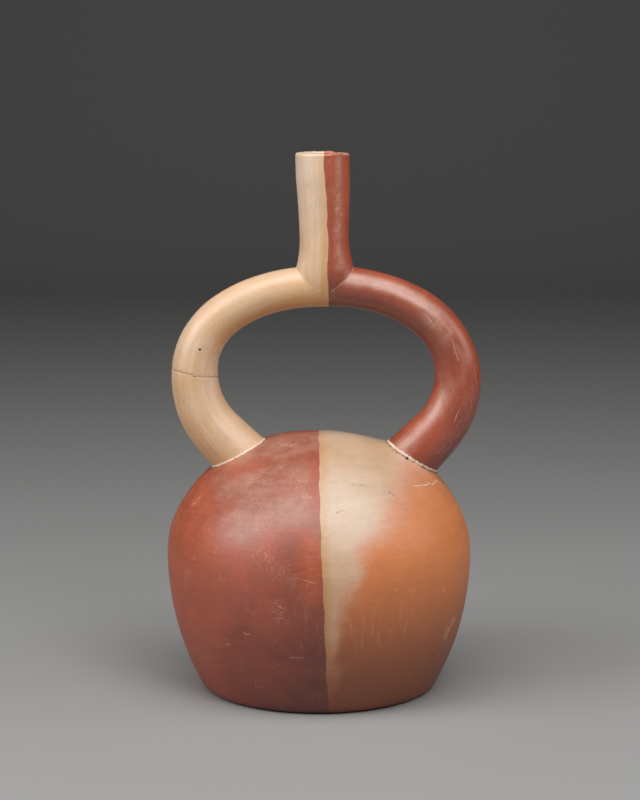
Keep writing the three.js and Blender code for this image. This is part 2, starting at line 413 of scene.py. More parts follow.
def body_outline(body, inset=0.0):
    """Half section of the body, from the base's centre to the top of the dome."""
    wall_x = body.radius - body.wall_arc
    reach = body.wall_arc - body.base_corner
    corner_x = wall_x + reach * math.cos(body.wall_sweep)
    equator = reach * math.sin(body.wall_sweep) + body.base_corner
    shoulder_x = body.radius - body.shoulder_arc
    dome_reach = shoulder_x / math.cos(body.shoulder_sweep)
    dome_z = equator - dome_reach * math.sin(body.shoulder_sweep)
    quarter = math.pi / 2
    dome_radius = body.shoulder_arc + dome_reach
    return np.vstack(
        (
            [[0, inset], [corner_x, inset]],
            arc(corner_x, body.base_corner, body.base_corner - inset, -quarter, -body.wall_sweep),
            arc(wall_x, equator, body.wall_arc - inset, -body.wall_sweep, 0),
            arc(shoulder_x, equator, body.shoulder_arc - inset, 0, body.shoulder_sweep),
            arc(0, dome_z, dome_radius - inset, body.shoulder_sweep, quarter),
        )
    )


def spout_outline(spout, crown_z):
    """Half section of the spout's outside, with heights over the crown's centre."""
    waist = spout.waist_radius
    bell = spout.bell_radius
    waist_z = spout.waist_z - crown_z
    bell_z = spout.bell_z - crown_z
    keel_z = spout.keel_z - crown_z
    keel_start = spout.keel_start_z - crown_z
    lip = spout.lip_z - crown_z
    handle = (bell_z - waist_z) / 3
    keel = curve((spout.keel_radius, keel_z), (waist, keel_start - spout.keel_bend), (waist, keel_start))
    flare = curve((waist, waist_z), (waist, waist_z + handle), (bell, bell_z - handle), (bell, bell_z))
    rim = arc(bell - spout.lip_round, lip - spout.lip_round, spout.lip_round, 0, math.pi / 2)
    return np.vstack(([[0, keel_z]], keel, flare, rim, [[0, lip]]))


def throat_outline(spout, crown_z):
    """Half section of the spout's inside, with heights over the crown's centre."""
    bottom = spout.bottom_z - crown_z
    foot = (spout.throat_radius, spout.throat_z - crown_z)
    past = spout.lip_z + 2 * spout.lip_round - crown_z
    bowl = curve((0, bottom), (spout.throat_radius, bottom), foot)
    return np.vstack((bowl, [[spout.mouth_radius, past], [0, past]]))


def arm_points(stirrup, side, steps=400):
    """Centreline points and radii of one arm, from the crown to the end of its leg."""
    name = "left" if side < 0 else "right"
    span, rise, drop, fullness = [
        getattr(stirrup, f"{name}_{key}") for key in ("span", "rise", "drop", "fullness")
    ]

    def oval(turn):
        out = np.abs(np.cos(turn)) ** (2 / fullness)
        up = np.abs(np.sin(turn)) ** (2 / fullness)
        height = np.where(turn > 0, rise * up, -drop * up)
        return np.column_stack((stirrup.crown_x + side * span * out, stirrup.crown_z - rise + height))

    along = np.linspace(0, 1, steps)
    bend = np.minimum(along / (1 - stirrup.leg_share), 1)
    leg = np.maximum(along - (1 - stirrup.leg_share), 0) / stirrup.leg_share
    end = np.array([-stirrup.leg_angle])
    nudge = 0.01
    heading = oval(end - nudge) - oval(end)
    heading /= np.hypot(*heading.T)
    points = oval(math.pi / 2 - bend * (math.pi / 2 + stirrup.leg_angle))
    points += leg[:, None] * stirrup.leg_length * heading
    radius = stirrup.crown_radius + (stirrup.foot_radius - stirrup.crown_radius) * along**2
    return np.column_stack((points, radius))


def stirrup_path(stirrup, spacing):
    """Evenly spaced centreline (X, Z) and radius of the whole stirrup, from left foot to right foot."""
    left = arm_points(stirrup, -1)[::-1]
    right = arm_points(stirrup, 1)
    return evenly(np.vstack((left, right[1:])), spacing)


def nearest(points, targets):
    """Index of the target nearest to each point."""
    found = np.empty(len(points), int)
    flat = points.astype(np.float32)
    targets = targets.astype(np.float32)
    weight = (targets**2).sum(1)
    batch = 4000
    for start in range(0, len(points), batch):
        part = flat[start : start + batch]
        found[start : start + batch] = (weight - 2 * part @ targets.T).argmin(1)
    return found


def unit(vectors):
    """The same directions at length 1."""
    return vectors / np.maximum(np.sqrt((vectors**2).sum(1)), TINY)[:, None]


def lower(a, b, blend):
    """Smooth lower of two distances with their slopes, for a union."""
    share = np.clip(0.5 + 0.5 * (b[0] - a[0]) / blend, 0, 1)
    distance = share * a[0] + (1 - share) * b[0] - blend * share * (1 - share)
    return distance, share[:, None] * a[1] + (1 - share[:, None]) * b[1]


class Outline:
    """An outline of radius and height with its outward normals."""

    def __init__(self, points, spacing):
        self.points = evenly(points, spacing)
        tangent = np.gradient(self.points, axis=0)
        tangent /= np.hypot(*tangent.T)[:, None]
        self.normals = np.column_stack((tangent[:, 1], -tangent[:, 0]))

    def distance(self, radius, height):
        """Signed distance to the outline, and the outline's normal at the nearest place."""
        flat = np.column_stack((radius, height))
        found = nearest(flat, self.points)
        normal = self.normals[found]
        return ((flat - self.points[found]) * normal).sum(1), normal


class VesselForm:
    """Signed distances and slopes of the vessel's smooth walls, in metres.

    The spacing is that of an outline's points. The deepest foot is where the spout's foot stops
    widening, in heights of the foot. The least slope keeps the steps of settling short.
    """

    spacing = 0.4 * MM
    deepest_foot = 2.2
    least_slope = 0.05

    def __init__(self, scene):
        self.body = scene.bottle_body
        self.stirrup = scene.bottle_stirrup
        self.spout = scene.bottle_spout
        self.relief = scene.bottle_relief
        crown_z = self.stirrup.crown_z
        self.body_line = Outline(body_outline(self.body), self.spacing)
        self.spout_line = Outline(spout_outline(self.spout, crown_z), self.spacing)
        self.throat_line = Outline(throat_outline(self.spout, crown_z), self.spacing)
        path = stirrup_path(self.stirrup, self.spacing)
        self.path = path[:, :2]
        self.path_radius = path[:, 2]
        tangent = np.gradient(self.path, axis=0)
        self.path_tangent = tangent / np.hypot(*tangent.T)[:, None]
        crown = int(nearest(np.array([[self.stirrup.crown_x, crown_z]]), self.path)[0])
        self.path_run = (np.arange(len(path)) - crown) * self.spacing

    def body_distance(self, points):
        """Distance to the body's outside."""
        radius = np.maximum(np.hypot(points[:, 0], points[:, 1]), TINY)
        distance, normal = self.body_line.distance(radius, points[:, 2])
        out = normal[:, :1] * points[:, :2] / radius[:, None]
        return distance, np.column_stack((out, normal[:, 1]))

    def shoulder_distance(self, points, tube):
        """Distance to the body's outside, with the swell round the arms' feet."""
        relief = self.relief
        ledge = relief.ledge * (points[:, 0] > 0) * fade(tube, relief.ledge_reach)
        distance, normal = self.body_distance(points)
        return distance - relief.foot_swell * fade(tube, relief.swell_reach) - ledge, normal

    def tube_distance(self, points):
        """Distance to the stirrup's outside."""
        flat = points[:, [0, 2]]
        found = nearest(flat, self.path)
        offset = flat - self.path[found]
        reach = np.column_stack((offset[:, 0], points[:, 1], offset[:, 1]))
        span = np.maximum(np.sqrt((reach**2).sum(1)), TINY)
        return span - self.path_radius[found], reach / span[:, None]

    def tube_place(self, points):
        """Run along the stirrup from its crown, and the angle round the tube from its outer side."""
        flat = points[:, [0, 2]]
        found = nearest(flat, self.path)
        offset = flat - self.path[found]
        tangent = self.path_tangent[found]
        step = np.clip((offset * tangent).sum(1), -self.spacing, self.spacing)
        outward = offset[:, 1] * tangent[:, 0] - offset[:, 0] * tangent[:, 1]
        return self.path_run[found] + step, np.arctan2(-points[:, 1], outward)

    def spout_distance(self, points, line, spread):
        """Distance to the spout's outside or throat, in its own leaned frame."""
        cos, sin = math.cos(self.spout.lean), math.sin(self.spout.lean)
        x = points[:, 0] - self.spout.axis_x
        z = points[:, 2] - self.stirrup.crown_z
        along = x * cos + z * sin
        up = z * cos - x * sin
        waist = self.spout.waist_z - self.stirrup.crown_z
        fall = self.spout.waist_z - self.spout.foot_z
        below = np.clip((waist - up) / fall, 0, self.deepest_foot)
        widen = 1 + spread * below**2
        radius = np.maximum(np.hypot(along / widen, points[:, 1]), TINY)
        distance, normal = line.distance(radius, up)
        slope_x = normal[:, 0] * along / widen**2 / radius
        slope_y = normal[:, 0] * points[:, 1] / radius
        slope = (slope_x * cos - normal[:, 1] * sin, slope_y, slope_x * sin + normal[:, 1] * cos)
        return distance, np.column_stack(slope)

    def wall(self, points):
        """Distance to the whole hollow vessel."""
        relief = self.relief
        body, body_slope = self.body_distance(points)
        tube, tube_slope = self.tube_distance(points)
        spout = self.spout_distance(points, self.spout_line, self.spout.foot_spread)
        shoulder = self.shoulder_distance(points, tube)
        throat = self.spout_distance(points, self.throat_line, 0.0)
        handle = lower((tube, tube_slope), spout, relief.crown_blend)
        outside = lower(handle, shoulder, relief.foot_blend)
        bore = (tube + self.stirrup.thickness, tube_slope)
        cavity = (body + self.body.thickness, body_slope)
        inside = lower(lower(bore, throat, relief.crown_blend), cavity, relief.crown_blend)
        hollow = lower((-outside[0], -outside[1]), inside, self.spout.lip_round)
        return -hollow[0], -hollow[1]

    def settle(self, points, rounds=4):
        """Points moved on to the wall."""
        points = points.copy()
        for _ in range(rounds):
            distance, slope = self.wall(points)
            square = np.maximum((slope**2).sum(1), self.least_slope)
            points -= (distance / square)[:, None] * slope
        return points

    def normals(self, points):
        """Outward directions of the wall."""
        return unit(self.wall(points)[1])


class NodeSheet:
    """Short ways to add and link the nodes of one tree."""

    def __init__(self, tree):
        self.tree = tree

    def add(self, kind, *values, **settings):
        """A node with its settings, its inputs filled in order. None leaves an input as it is."""
        node = self.tree.nodes.new(kind)
        for key, value in settings.items():
            setattr(node, key, value)
        for socket, value in zip(node.inputs, values):
            self.put(socket, value)
        return node

    def put(self, socket, value):
        """Links a socket or sets its value."""
        if isinstance(value, bpy.types.NodeSocket):
            self.tree.links.new(value, socket)
        elif value is not None:
            socket.default_value = value

    def math(self, operation, *values, clamp=False):
        """Result of a Math node."""
        node = self.add("ShaderNodeMath", *values, operation=operation, use_clamp=clamp)
        return node.outputs[0]

    def weigh(self, start, *parts, clamp=False):
        """A start value plus parts, each times its share."""
        total = start
        for index, (part, share) in enumerate(parts, 1):
            last = index == len(parts)
            total = self.math("MULTIPLY_ADD", part, share, total, clamp=clamp and last)
        return total

    def most(self, first, *others):
        """The greatest of some values."""
        for other in others:
            first = self.math("MAXIMUM", first, other)
        return first

    def times(self, first, *others):
        """The product of some values."""
        for other in others:
            first = self.math("MULTIPLY", first, other)
        return first

    def apart(self, first, second):
        """How far one value is from another."""
        return self.math("ABSOLUTE", self.math("SUBTRACT", first, second))

    def vector(self, operation, *values):
        """Result of a Vector Math node."""
        node = self.add("ShaderNodeVectorMath", *values, operation=operation)
        if operation in ("LENGTH", "DISTANCE", "DOT_PRODUCT"):
            return node.outputs["Value"]
        return node.outputs["Vector"]

    def scaled(self, vector, factor):
        """A vector times one number."""
        node = self.add("ShaderNodeVectorMath", vector, operation="SCALE")
        self.put(node.inputs["Scale"], factor)
        return node.outputs["Vector"]

    def shrunk(self, vector, size):
        """A vector over one number."""
        return self.scaled(vector, self.math("DIVIDE", 1.0, size))

    def split(self, vector):
        """X, Y and Z of a vector."""
        return self.add("ShaderNodeSeparateXYZ", vector).outputs

    def join(self, x, y, z):
        """A vector from its parts."""
        return self.add("ShaderNodeCombineXYZ", x, y, z).outputs[0]

    def ramp(self, value, low, high, start=0.0, end=1.0):
        """A smooth step of a value from start to end."""
        node = self.add(
            "ShaderNodeMapRange", value, low, high, start, end, interpolation_type="SMOOTHSTEP"
        )
        return node.outputs["Result"]

    def blend(self, share, first, second):
        """A mix of two numbers."""
        node = self.add("ShaderNodeMix", data_type="FLOAT")
        for name, value in (("Factor_Float", share), ("A_Float", first), ("B_Float", second)):
            self.put(next(s for s in node.inputs if s.identifier == name), value)
        return node.outputs[0]

    def tint(self, share, first, second, mode="MIX"):
        """A mix of two colours."""
        node = self.add("ShaderNodeMix", data_type="RGBA", blend_type=mode)
        for name, value in (("Factor_Float", share), ("A_Color", first), ("B_Color", second)):
            if isinstance(value, (tuple, Color)):
                value = (*value, 1.0)
            self.put(next(s for s in node.inputs if s.identifier == name), value)
        return next(s for s in node.outputs if s.identifier == "Result_Color")

    def noise(self, vector, scale, detail=2.0, roughness=0.5, distortion=0.0):
        """Value of a noise texture."""
        node = self.add("ShaderNodeTexNoise", vector, noise_dimensions="3D")
        for name, value in (
            ("Scale", scale),
            ("Detail", detail),
            ("Roughness", roughness),
            ("Distortion", distortion),
        ):
            self.put(node.inputs[name], value)
        return node.outputs["Fac"]

    def attribute(self, name, output="Fac"):
        """A value that the mesh holds."""
        node = self.add("ShaderNodeAttribute")
        node.attribute_name = name
        return node.outputs[output]

    def group(self, tree, *values):
        """A node group placed in this tree."""
        kind = "GeometryNodeGroup" if tree.bl_idname == "GeometryNodeTree" else "ShaderNodeGroup"
        node = self.tree.nodes.new(kind)
        node.node_tree = tree
        for socket, value in zip(node.inputs, values):
            self.put(socket, value)
        return node.outputs


def group_tree(name, kind, inputs, outputs):
    """A new node group with its named sockets, its sheet, and its input and output nodes."""
    tree = bpy.data.node_groups.new(name, kind)
    for in_out, sockets in (("INPUT", inputs), ("OUTPUT", outputs)):
        for label, socket in sockets:
            tree.interface.new_socket(label, in_out=in_out, socket_type=f"NodeSocket{socket}")
    sheet = NodeSheet(tree)
    source = sheet.add("NodeGroupInput").outputs
    result = sheet.add("NodeGroupOutput").inputs
    return tree, sheet, source, result


def turned_tree():
    """Geometry Nodes: an outline of radius (X) and height (Z) turned round Z into a closed form."""
    inputs = (("Outline", "Geometry"), ("Rings", "Int"), ("Segments", "Int"))
    tree, sheet, source, result = group_tree(
        "Turned Form", "GeometryNodeTree", inputs, (("Form", "Geometry"),)
    )
    grid = sheet.add("GeometryNodeMeshGrid", 1.0, 1.0, source["Rings"], source["Segments"])
    where = sheet.split(sheet.add("GeometryNodeInputPosition").outputs[0])
    factor = sheet.math("ADD", where[0], 0.5)
    turn = sheet.math("MULTIPLY", where[1], 2 * math.pi)
    sample = sheet.add("GeometryNodeSampleCurve", mode="FACTOR", use_all_curves=True)
    sheet.put(sample.inputs["Curves"], source["Outline"])
    sheet.put(sample.inputs["Factor"], factor)
    on_line = sheet.split(sample.outputs["Position"])
    x = sheet.math("MULTIPLY", on_line[0], sheet.math("COSINE", turn))
    y = sheet.math("MULTIPLY", on_line[0], sheet.math("SINE", turn))
    shaped = sheet.add("GeometryNodeSetPosition", grid.outputs["Mesh"])
    sheet.put(shaped.inputs["Position"], sheet.join(x, y, on_line[2]))
    closed = sheet.add("GeometryNodeMergeByDistance", shaped.outputs[0])
    sheet.put(closed.inputs["Distance"], WELD)
    outward = sheet.add("GeometryNodeFlipFaces", closed.outputs[0])
    sheet.put(result["Form"], outward.outputs[0])
    return tree


def swept_tree():
    """Geometry Nodes: a round tube with closed ends along a path, as thick as the path's radius."""
    inputs = (("Path", "Geometry"), ("Sides", "Int"))
    tree, sheet, source, result = group_tree(
        "Swept Tube", "GeometryNodeTree", inputs, (("Tube", "Geometry"),)
    )
    ring = sheet.add("GeometryNodeCurvePrimitiveCircle")
    sheet.put(ring.inputs["Resolution"], source["Sides"])
    sheet.put(ring.inputs["Radius"], 1.0)
    tube = sheet.add("GeometryNodeCurveToMesh", source["Path"], ring.outputs["Curve"])
    sheet.put(tube.inputs["Scale"], sheet.add("GeometryNodeInputRadius").outputs[0])
    sheet.put(tube.inputs["Fill Caps"], True)
    sheet.put(result["Tube"], tube.outputs[0])
    return tree


def vessel_tree():
    """Geometry Nodes: the hollow vessel from its outlines and paths."""
    names = ("Body", "Cavity", "Spout", "Throat", "Stirrup", "Bore")
    inputs = [(name, "Object") for name in names]
    inputs += [("Rings", "Int"), ("Segments", "Int"), ("Sides", "Int")]
    inputs += [("Spout Place", "Vector"), ("Spout Lean", "Rotation"), ("Slip", "Material")]
    tree, sheet, source, result = group_tree(
        "Hollow Vessel", "GeometryNodeTree", inputs, (("Vessel", "Geometry"),)
    )
    turned, swept = turned_tree(), swept_tree()
    forms = {}
    for name in names:
        line = sheet.add("GeometryNodeObjectInfo", source[name]).outputs["Geometry"]
        if name in ("Stirrup", "Bore"):
            forms[name] = sheet.group(swept, line, source["Sides"])[0]
        else:
            forms[name] = sheet.group(turned, line, source["Rings"], source["Segments"])[0]
    for name in ("Spout", "Throat"):
        placed = sheet.add("GeometryNodeTransform", forms[name])
        sheet.put(placed.inputs["Translation"], source["Spout Place"])
        sheet.put(placed.inputs["Rotation"], source["Spout Lean"])
        forms[name] = placed.outputs[0]
    outside = sheet.add("GeometryNodeMeshBoolean", operation="UNION", solver="MANIFOLD")
    for name in ("Body", "Stirrup", "Spout"):
        sheet.put(outside.inputs["Mesh 2"], forms[name])
    hollow = sheet.add("GeometryNodeMeshBoolean", operation="DIFFERENCE", solver="MANIFOLD")
    sheet.put(hollow.inputs["Mesh 1"], outside.outputs["Mesh"])
    for name in ("Cavity", "Bore", "Throat"):
        sheet.put(hollow.inputs["Mesh 2"], forms[name])
    real = sheet.add("GeometryNodeRealizeInstances", hollow.outputs["Mesh"])
    dressed = sheet.add("GeometryNodeSetMaterial", real.outputs[0])
    sheet.put(dressed.inputs["Material"], source["Slip"])
    sheet.put(result["Vessel"], dressed.outputs[0])
    return tree


def line_object(name, points, radii=None):
    """A curve object through points of X and Z, for the node tree to read."""
    data = bpy.data.curves.new(name, "CURVE")
    data.dimensions = "3D"
    spline = data.splines.new("POLY")
    spline.points.add(len(points) - 1)
    flat = np.column_stack((points[:, 0], np.zeros(len(points)), points[:, 1], np.ones(len(points))))
    spline.points.foreach_set("co", flat.ravel())
    if radii is not None:
        spline.points.foreach_set("radius", radii)
    line = bpy.data.objects.new(name, data)
    bpy.context.scene.collection.objects.link(line)
    return line


def rough_vessel(form, slip):
    """The hollow vessel from its node tree as one plain mesh of even cells."""
    relief = form.relief
    spacing = relief.cell / 2
    crown_z = form.stirrup.crown_z
    path = stirrup_path(form.stirrup, spacing)
    lines = {
        "Body": line_object("body line", evenly(body_outline(form.body), spacing)),
        "Cavity": line_object(
            "cavity line", evenly(body_outline(form.body, form.body.thickness), spacing)
        ),
        "Spout": line_object("spout line", evenly(spout_outline(form.spout, crown_z), spacing)),
        "Throat": line_object("throat line", evenly(throat_outline(form.spout, crown_z), spacing)),
        "Stirrup": line_object("stirrup path", path, path[:, 2]),
        "Bore": line_object("bore path", path, path[:, 2] - form.stirrup.thickness),
    }
    piece = bpy.data.objects.new("rough vessel", bpy.data.meshes.new("rough vessel"))
    bpy.context.scene.collection.objects.link(piece)
    nodes = piece.modifiers.new("Hollow Vessel", "NODES")
    nodes.node_group = vessel_tree()
    values = {
        **lines,
        "Rings": relief.rings,
        "Segments": relief.segments,
        "Sides": relief.sides,
        "Spout Place": (form.spout.axis_x, 0.0, crown_z),
        "Spout Lean": (0.0, -form.spout.lean, 0.0),
        "Slip": slip,
    }
    for item in nodes.node_group.interface.items_tree:
        if item.in_out == "INPUT":
            nodes[item.identifier] = values[item.name]
    even = piece.modifiers.new("Even cells", "REMESH")
    even.mode = "VOXEL"
    even.voxel_size = relief.cell
    graph = bpy.context.evaluated_depsgraph_get()
    mesh = bpy.data.meshes.new_from_object(piece.evaluated_get(graph))
    for leftover in (piece, *lines.values()):
        bpy.data.objects.remove(leftover)
    if not mesh.polygons:
        raise RuntimeError("the node tree gave no vessel")
    return mesh


def mesh_points(mesh):
    """The mesh's points as an array."""
    points = np.empty(len(mesh.vertices) * 3)
    mesh.vertices.foreach_get("co", points)
    return points.reshape(-1, 3)


def set_points(mesh, points):
    """Moves the mesh's points."""
    mesh.vertices.foreach_set("co", points.astype(np.float32).ravel())
    mesh.update()


def lumps(points, size, seed):
    """Smooth noise between -1 and 1 with lumps of the given size."""
    table, stride = 4096, 57
    values = np.random.default_rng(seed).uniform(-1, 1, table)
    cell = np.floor(points / size).astype(np.int64)
    share = points / size - cell
    share = share * share * (3 - 2 * share)
    total = np.zeros(len(points))
    for corner in itertools.product((0, 1), repeat=3):
        picked = (cell + corner) @ np.array((1, stride, stride**2)) % table
        total += np.prod(np.where(corner, share, 1 - share), axis=1) * values[picked]
    return total


def soft_step(value, low, high):
    """A smooth step from 0 to 1 between two values."""
    share = np.clip((value - low) / (high - low), 0, 1)
    return share * share * (3 - 2 * share)


def fade(distance, width):
    """1 at no distance, falling smoothly to 0 at the width."""
    return soft_step(np.abs(distance), width, 0)


def clouds(points, size, seed):
    """Smooth noise about nought in three sizes of lump."""
    return sum(0.6**k * lumps(points, size / 2**k, seed + k) for k in range(3))


def closeness(points, paths):
    """1 on the paths, falling to 0 at each path's half width."""
    best = np.zeros(len(points))
    for path, width in paths:
        places = np.array(path) * MM
        for start, end in zip(places, places[1:]):
            reach = end - start
            share = np.clip((points - start) @ reach / (reach @ reach), 0, 1)
            away = np.linalg.norm(points - start - share[:, None] * reach, axis=1)
            best = np.maximum(best, fade(away, width * MM))
    return best


def waves(form, points):
    """Height of the slow handmade waves, none at the base."""
    relief = form.relief
    slow = lumps(points, relief.wave_length, seed=5)
    quick = lumps(points, relief.wave_length / 3, seed=6)
    risen = np.clip(points[:, 2] / relief.wave_start, 0, 1)
    return risen * relief.wave * (slow + 0.3 * quick)


def break_distance(points, centre, normal, jag, seed):
    """Distance from a jagged break that runs along a plane."""
    normal = np.array(normal) / np.linalg.norm(normal)
    across = (points - np.array(centre)) @ normal
    flat = points - across[:, None] * normal
    bend, tooth = 5 * MM, 1.3 * MM
    wander = 0.7 * lumps(flat, bend, seed) + 0.5 * lumps(flat, tooth, seed + 3)
    return across - jag * wander


class Features:
    """How far each point is from the breaks, the joints, the pits and the lip.

    Points deeper than the skin aren't outside, and far stands for a place without the feature. The
    other lengths widen the bands of small faces at the joints and the lip.
    """

    far = 1.0
    skin = 1.5 * MM
    joint_band = 1.2 * MM
    lip_reach = 2 * MM
    lip_near = 0.5 * MM

    def __init__(self, form, points):
        relief = form.relief
        tube = form.tube_distance(points)[0]
        body = form.shoulder_distance(points, tube)[0]
        spout = form.spout_distance(points, form.spout_line, form.spout.foot_spread)[0]
        self.outside = np.minimum(np.minimum(body, tube), spout) > -self.skin
        self.handle = body - np.minimum(tube, spout)
        self.spout_side = tube - spout
        self.joint = np.where(self.outside, np.hypot(body, tube), self.far)
        self.crease = np.where(self.outside, np.hypot(tube, spout), self.far)
        plane = (relief.left_break, relief.left_break_normal)
        left = break_distance(points, *plane, relief.jag, seed=1)
        plane = (relief.right_break, relief.right_break_normal)
        right = break_distance(points, *plane, relief.jag / 2, seed=2)
        on_tube = np.abs(tube) < self.skin
        arm_x = points[:, 0] - form.stirrup.crown_x
        left_arm = on_tube & (arm_x < -form.stirrup.left_span / 2)
        right_arm = on_tube & (arm_x > form.stirrup.right_span / 2)
        self.left_break = np.where(left_arm, left, np.copysign(self.far, left))
        self.right_break = np.where(right_arm, right, np.copysign(self.far, right))
        places = np.array([place for place, _ in PITS]) * MM
        radii = np.array([radius for _, radius in PITS]) * MM
        self.pit = (np.linalg.norm(points[:, None] - places, axis=2) / radii).min(1)
        self.lip = form.spout.lip_z - points[:, 2]

    def finest(self):
        """Distance to the nearest feature that needs small faces."""
        parts = (
            np.abs(self.left_break),
            np.abs(self.right_break),
            np.maximum(self.joint - self.joint_band, 0),
            np.maximum(self.pit - 1, 0) * MM,
            np.maximum(self.lip - self.lip_reach, self.lip_near),
            self.crease,
        )
        return np.minimum.reduce(parts)


def refine(mesh, form):
    """Splits the faces near the features, finer and finer, and settles the new points."""
    for reach in FINE_REACHES:
        points = mesh_points(mesh)
        close = Features(form, points).finest() < reach
        shape = bmesh.new()
        shape.from_mesh(mesh)
        edges = [e for e in shape.edges if close[e.verts[0].index] and close[e.verts[1].index]]
        bmesh.ops.subdivide_edges(shape, edges=edges, cuts=1, use_grid_fill=True)
        many = [face for face in shape.faces if len(face.verts) > 4]
        bmesh.ops.triangulate(shape, faces=many)
        shape.to_mesh(mesh)
        shape.free()
        added = mesh_points(mesh)[len(points) :]
        set_points(mesh, np.vstack((points, form.settle(added, rounds=3))))


def lip_drop(form, points, features):
    """How far the worn and chipped lip lies below its even height."""
    relief = form.relief
    turn = np.arctan2(points[:, 1], points[:, 0] - form.spout.axis_x)
    past = np.abs(turn - relief.chip_turn) - relief.chip_reach
    chip = np.clip(-past / relief.chip_end, 0, 1)
    uneven = lumps(points, relief.lip_band, seed=9)
    worn = relief.lip_wear * np.abs(uneven)
    chipped = relief.chip_depth * chip * (0.8 + 0.3 * uneven)
    return fade(features.lip, relief.lip_band) * (chipped + worn)


def work_relief(mesh, form):
    """Moves the points out and in for the small relief."""
    relief = form.relief
    points = mesh_points(mesh)
    features = Features(form, points)
    tooth, patch = 2.2 * MM, 4 * MM
    ragged = 0.6 + 0.8 * np.abs(lumps(points, tooth, seed=7))
    height = waves(form, points)
    height -= relief.break_depth * fade(features.left_break, relief.break_width * ragged)
    height -= 0.4 * relief.break_depth * fade(features.right_break, 0.6 * relief.break_width * ragged)
    height -= relief.pit_depth * fade(features.pit, 1.0)
    right = (features.joint < 5 * relief.filler_width) & (points[:, 0] > 0)
    strip = right * fade(features.handle - relief.filler_width, 1.6 * relief.filler_width)
    height += relief.strip_rise * strip * (1 + lumps(points, patch, seed=8) / 3)
    gap = right * fade(features.handle + 0.4 * relief.gap_width, relief.gap_width)
    height -= relief.gap_depth * gap * soft_step(lumps(points, patch, seed=10), -0.4, 0.2)
    height -= relief.crease_depth * fade(features.crease, relief.crease_width)
    height *= features.outside
    moved = points + height[:, None] * form.normals(points)
    moved[:, 2] -= lip_drop(form, points, features)
    moved[:, 2] = np.maximum(moved[:, 2], 0)
    set_points(mesh, moved)
    keep_measures(mesh, form, points, features)


class Firing:
    """How fire, wear, painted shade and painted sheen lie on the slip at each point, as shares of about
    0 to 1.

    Places and heights are in millimetres. The slip's colours limit each share where they use it.
    """

    names = ("fired", "thin", "deep", "warm", "bloom", "salt", "scraped", "grime")

    def __init__(self, form, points, features):
        self.points = points
        self.x, _, self.z = points.T / MM
        # The upward share of the wall's direction lays the painted shade on the arms
        self.up = form.normals(points)[:, 2]
        self.arm = soft_step(features.handle, -MM, MM)
        self.tube = self.arm * soft_step(self.z, 193, 183)
        self.broad = clouds(points, 34 * MM, seed=20)
        self.small = clouds(points, 11 * MM, seed=24)
        self.tiny = clouds(points, 4 * MM, seed=28)

    def fired(self):
        """Cream turned orange on the right of the body and towards the base."""
        edge = np.interp(self.z, *FIRED_EDGE)
        width = np.interp(self.z, *FIRED_WIDTH)
        ragged = 3 * self.small + 1.5 * self.tiny
        right = soft_step(self.x - edge + ragged, -width / 2, width / 2)
        low = 0.7 * soft_step(self.z, 56, 10)
        pale = 1 - 0.22 * soft_step(self.z, 72, 96)
        return (1 - self.arm) * np.maximum(pale * right, low)

    def thin(self):
        """Cream thin at the spout's foot and low and high on the body, and painted shade on the arms."""
        # Painted shade: the arms' cream turns warmer and darker the more their surface faces down
        under = self.tube * (0.38 + 0.55 * soft_step(self.up, 0.0, -0.8))
        low = 0.2 * soft_step(self.z, 92, 66) + 0.25 * soft_step(self.z, 102, 112)
        foot = 0.16 * (self.arm - self.tube) * soft_step(self.z, 215, 195)
        return under + (1 - self.arm) * low + foot + 0.15 + 0.2 * self.broad

    def deep(self):
        """Red darkened by painted shade on the arms, and low in the middle of the body and in clouds."""
        # Painted shade: the arms' red darkens the more their surface faces down
        under = self.tube * (0.2 + 0.6 * soft_step(self.up, 0.3, -0.7))
        inward = 0.5 * soft_step(self.x, -60, 0) * soft_step(self.z, 70, 20)
        patches = 0.12 * closeness(self.points, DEEP_PATCHES)
        return under + inward + patches + 0.28 + 0.15 * self.broad + 0.15 * self.small

    def warm(self):
        """Red turned orange on the left of the body and in a patch at the seam."""
        left = 0.6 * soft_step(self.x, -30, -62)
        return (1 - self.arm) * np.maximum(left, 0.65 * closeness(self.points, ORANGE_PATCHES))

    def bloom(self):
        """Painted sheen on the red high on the body and on the arms and spout, mixed with a grey bloom.
        """
        high = soft_step(self.z, 40, 90)
        rubbed = closeness(self.points, SHEEN_PATCHES) + 0.2 * (1 - self.arm)
        return high * soft_step(rubbed + 0.35 * self.small, 0.0, 1.0)

    def salt(self):
        """How thickly the slip is flecked."""
        scattered = 0.4 * soft_step(self.broad, 0.2, 1.4)
        return np.maximum(closeness(self.points, FLECK_PATCHES), scattered)

    def grime(self):
        """Painted shade that deepens towards the base, lighter on the cream strip beside the seam."""
        strip = soft_step(self.x, 2, 5) * (1 - self.fired())
        return np.interp(self.z, *PAINTED_LOW_SHADE) * (1 - 0.45 * strip)

    def scraped(self):
        """How far the slip is scraped upright low on the body."""
        return closeness(self.points, SCRAPED_PATCHES)


def stroke_places(form, points, features):
    """Places in the polishing strokes: level round the body, along the arms and upright on the spout."""
    run, turn = form.tube_place(points)
    radius = form.stirrup.crown_radius
    along_arm = np.column_stack((run, radius * np.cos(turn), radius * np.sin(turn)))
    upright = points[:, [2, 0, 1]]
    stroke, lane = 26 * MM, 1.5 * MM
    places = upright / (2 * lane, stroke, stroke)
    handle = features.handle > 0
    spout = handle & (features.spout_side > 0)
    places[handle] = along_arm[handle] / (stroke, lane, lane)
    places[spout] = upright[spout] / (stroke, lane, lane)
    return places


